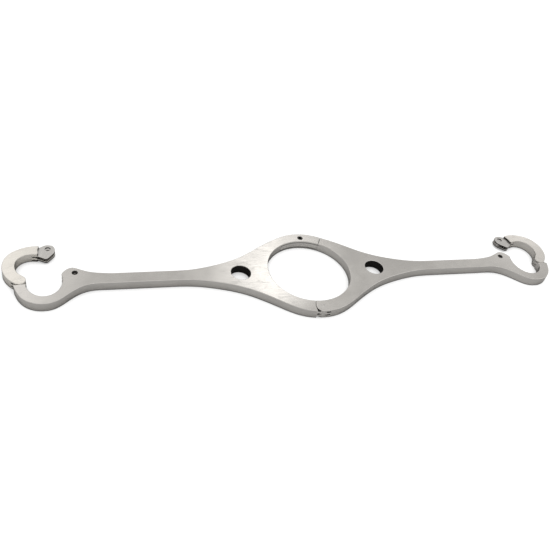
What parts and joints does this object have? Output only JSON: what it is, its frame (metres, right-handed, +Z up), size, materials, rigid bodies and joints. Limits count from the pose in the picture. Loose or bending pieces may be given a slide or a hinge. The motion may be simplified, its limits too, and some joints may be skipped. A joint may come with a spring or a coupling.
{
  "type": "rigid restraint bar",
  "caption": "Rigid flat steel restraint bar with a hinged split collar in the middle and a hinged wrist cuff at each end.",
  "frame": {"origin": "centre of the collar's opening, at the underside of the plate", "axes": "+X along the bar to the right, +Y to the back where the collar's lock is, +Z up through the plate's thickness"},
  "size_m": [0.883, 0.168, 0.015],
  "materials": {
    "plate_steel": "polished stainless steel plate, fine grain",
    "jaw_steel": "polished stainless steel plate, fine grain",
    "pin_steel": "ground flush and polished",
    "screw_steel": "plain stainless socket screw"
  },
  "bodies": {
    "left_bar_half": {"left_bar_half": "plate_steel"},
    "right_bar_half": {"right_bar_half": "plate_steel", "collar_hinge_pin": "pin_steel"},
    "left_swing_jaw": {"left_swing_jaw": "jaw_steel", "left_cuff_hinge_pin": "pin_steel"},
    "right_swing_jaw": {"right_swing_jaw": "jaw_steel", "right_cuff_hinge_pin": "pin_steel"},
    "collar_lock_screw": {"collar_lock_screw": "screw_steel"},
    "left_cuff_lock_screw": {"left_cuff_lock_screw": "screw_steel"},
    "right_cuff_lock_screw": {"right_cuff_lock_screw": "screw_steel"}
  },
  "joints": [
    {"name": "collar_hinge", "type": "hinge", "parent": "left_bar_half", "child": "right_bar_half", "pos_m": [0, -0.0755, 0], "axis": [0, 0, -1], "range_deg": [0, 75]},
    {"name": "left_cuff_hinge", "type": "hinge", "parent": "left_bar_half", "child": "left_swing_jaw", "pos_m": [-0.4202, 0.0032, 0], "axis": [0, 0, 1], "range_deg": [-52, 32]},
    {"name": "right_cuff_hinge", "type": "hinge", "parent": "right_bar_half", "child": "right_swing_jaw", "pos_m": [0.4202, 0.0032, 0], "axis": [0, 0, -1], "range_deg": [-39, 45]},
    {"name": "collar_lock_screw_travel", "type": "slide", "parent": "left_bar_half", "child": "collar_lock_screw", "axis": [0, 0, -1], "range_m": [0, 0.0016]},
    {"name": "left_cuff_lock_screw_travel", "type": "slide", "parent": "left_bar_half", "child": "left_cuff_lock_screw", "axis": [0, 0, -1], "range_m": [0, 0.0016]},
    {"name": "right_cuff_lock_screw_travel", "type": "slide", "parent": "right_bar_half", "child": "right_cuff_lock_screw", "axis": [0, 0, -1], "range_m": [0, 0.0016]}
  ]
}
